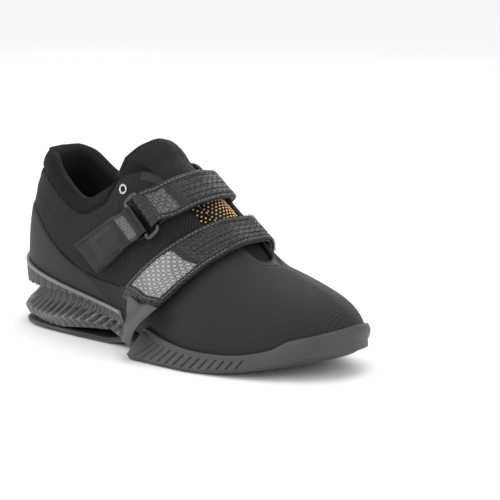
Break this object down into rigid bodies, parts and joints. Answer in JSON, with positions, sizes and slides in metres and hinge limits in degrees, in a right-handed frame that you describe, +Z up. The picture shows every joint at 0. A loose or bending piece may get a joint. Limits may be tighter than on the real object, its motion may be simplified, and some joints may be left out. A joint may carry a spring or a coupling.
{
  "type": "weightlifting shoe",
  "caption": "Right-foot weightlifting shoe with a raised ribbed heel, cupped rubber forefoot and folded straps with rings.",
  "frame": {"origin": "middle of the bounding box's bottom face, on the floor under the sole", "axes": "+X towards the toe, +Y towards the medial side of the foot, +Z up"},
  "size_m": [0.2982, 0.1178, 0.139],
  "materials": {
    "black_rubber": "matte",
    "gloss_black_plastic": "gloss",
    "black_cloth": "matte",
    "black_lining": "matte",
    "black_strap": "satin",
    "silver_metal": "satin"
  },
  "bodies": {
    "root": {"outsole": "black_rubber", "heel_frame": "gloss_black_plastic", "upper": "black_cloth", "insole": "black_lining", "tongue": "black_lining", "strap_upper": "black_strap", "strap_lower": "black_strap", "strap_loop": "black_strap", "tab_upper": "black_strap", "tab_lower": "black_strap", "ring_upper": "gloss_black_plastic", "ring_lower": "gloss_black_plastic", "eyelet_lateral": "silver_metal", "eyelet_medial": "silver_metal"}
  },
  "joints": []
}
